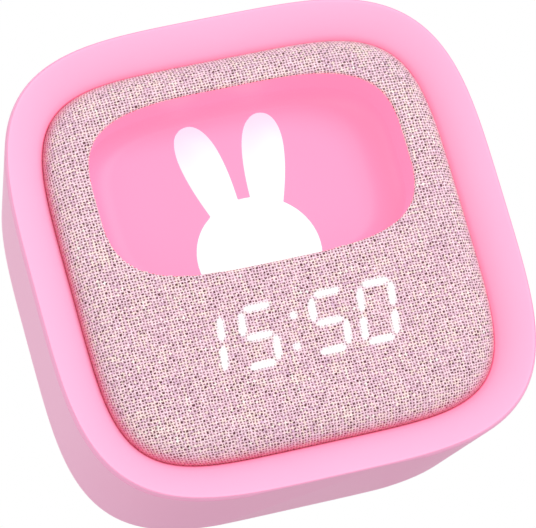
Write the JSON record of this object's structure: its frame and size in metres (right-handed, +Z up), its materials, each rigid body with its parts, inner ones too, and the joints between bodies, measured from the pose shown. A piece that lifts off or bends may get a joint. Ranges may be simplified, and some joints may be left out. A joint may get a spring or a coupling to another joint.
{
  "type": "kids alarm clock with night light",
  "caption": "Soft-square bedside alarm clock leaning back on its base, with a cloth front, a digital display behind the cloth and a lit rabbit night light in a niche above.",
  "frame": {"origin": "middle of the footprint of the clock's box, on the surface it stands on", "axes": "+Z up; the front faces -Y and leans back by the taper of the case, about 6.3 degrees; +X to the right as seen from the front"},
  "size_m": [0.12, 0.0598, 0.1189],
  "materials": {
    "soft_touch_case": "soft-touch moulded, satin",
    "back_cover": "fine spark texture, satin",
    "grille_plastic": "moulded, satin",
    "woven_cloth": "plain woven melange cloth, matt",
    "niche_plastic": "moulded, matt",
    "opal_figure": "translucent opal, matt",
    "white_reflector": "moulded white, matt",
    "lamp_epoxy": "clear epoxy over phosphor, gloss",
    "segment_epoxy": "diffused epoxy, satin",
    "green_board": "solder-masked laminate, satin",
    "white_board": "white solder-masked laminate, satin",
    "plated_steel": "zinc plated, satin",
    "wire_insulation": "extruded, satin",
    "flat_cable": "polyester film, gloss",
    "cream_nylon": "moulded nylon, satin",
    "chip_epoxy": "moulded epoxy, matt",
    "switch_plastic": "moulded, matt",
    "battery_foil": "laminated foil, satin",
    "foam": "closed-cell foam, matt",
    "speaker_metal": "pressed steel, satin black",
    "speaker_paper": "pressed paper, matt",
    "ferrite": "sintered ferrite, matt",
    "key_plastic": "moulded, satin",
    "plunger_plastic": "moulded, satin"
  },
  "bodies": {
    "case": {"housing": "soft_touch_case", "rear_cover": "back_cover", "grille_frame": "grille_plastic", "fabric_cover": "woven_cloth", "niche_shell": "niche_plastic", "night_light_figure": "opal_figure", "light_box": "white_reflector", "display_block": "white_reflector", "night_light_leds": "lamp_epoxy", "display_segments": "segment_epoxy", "main_board": "green_board", "display_board": "green_board", "night_light_board": "white_board", "night_light_screws": "plated_steel", "display_screws": "plated_steel", "rear_cover_screws": "plated_steel", "board_screws": "plated_steel", "frame_screws": "plated_steel", "usb_socket": "plated_steel", "slide_switch": "plated_steel", "clock_crystal": "plated_steel", "night_light_leads": "wire_insulation", "battery_leads": "wire_insulation", "speaker_leads": "wire_insulation", "display_ribbon": "flat_cable", "ribbon_sockets": "cream_nylon", "battery_connector": "cream_nylon", "controller_chip": "chip_epoxy", "tact_switches": "switch_plastic", "battery": "battery_foil", "battery_pad": "foam", "speaker_gasket": "foam", "speaker_frame": "speaker_metal", "speaker_cone": "speaker_paper", "speaker_magnet": "ferrite"},
    "light_button": {"light_key": "key_plastic", "light_plunger": "plunger_plastic"},
    "alarm_button": {"alarm_key": "key_plastic", "alarm_plunger": "plunger_plastic"},
    "set_button": {"set_key": "key_plastic", "set_plunger": "plunger_plastic"},
    "minus_button": {"minus_key": "key_plastic", "minus_plunger": "plunger_plastic"},
    "plus_button": {"plus_key": "key_plastic", "plus_plunger": "plunger_plastic"},
    "power_switch": {"power_slider": "key_plastic"}
  },
  "joints": [
    {"name": "light_key_press", "type": "slide", "parent": "case", "child": "light_button", "axis": [0, -0.9939, 0.1099], "range_m": [0, 0.0005], "stiffness_N_per_m": 300, "springref_m": -0.0015},
    {"name": "alarm_key_press", "type": "slide", "parent": "case", "child": "alarm_button", "axis": [0, -0.9939, 0.1099], "range_m": [0, 0.0005], "stiffness_N_per_m": 300, "springref_m": -0.0015},
    {"name": "set_key_press", "type": "slide", "parent": "case", "child": "set_button", "axis": [0, -0.9939, 0.1099], "range_m": [0, 0.0005], "stiffness_N_per_m": 300, "springref_m": -0.0015},
    {"name": "minus_key_press", "type": "slide", "parent": "case", "child": "minus_button", "axis": [0, -0.9939, 0.1099], "range_m": [0, 0.0005], "stiffness_N_per_m": 300, "springref_m": -0.0015},
    {"name": "plus_key_press", "type": "slide", "parent": "case", "child": "plus_button", "axis": [0, -0.9939, 0.1099], "range_m": [0, 0.0005], "stiffness_N_per_m": 300, "springref_m": -0.0015},
    {"name": "power_slide", "type": "slide", "parent": "case", "child": "power_switch", "axis": [-1, 0, 0], "range_m": [0, 0.003]}
  ]
}
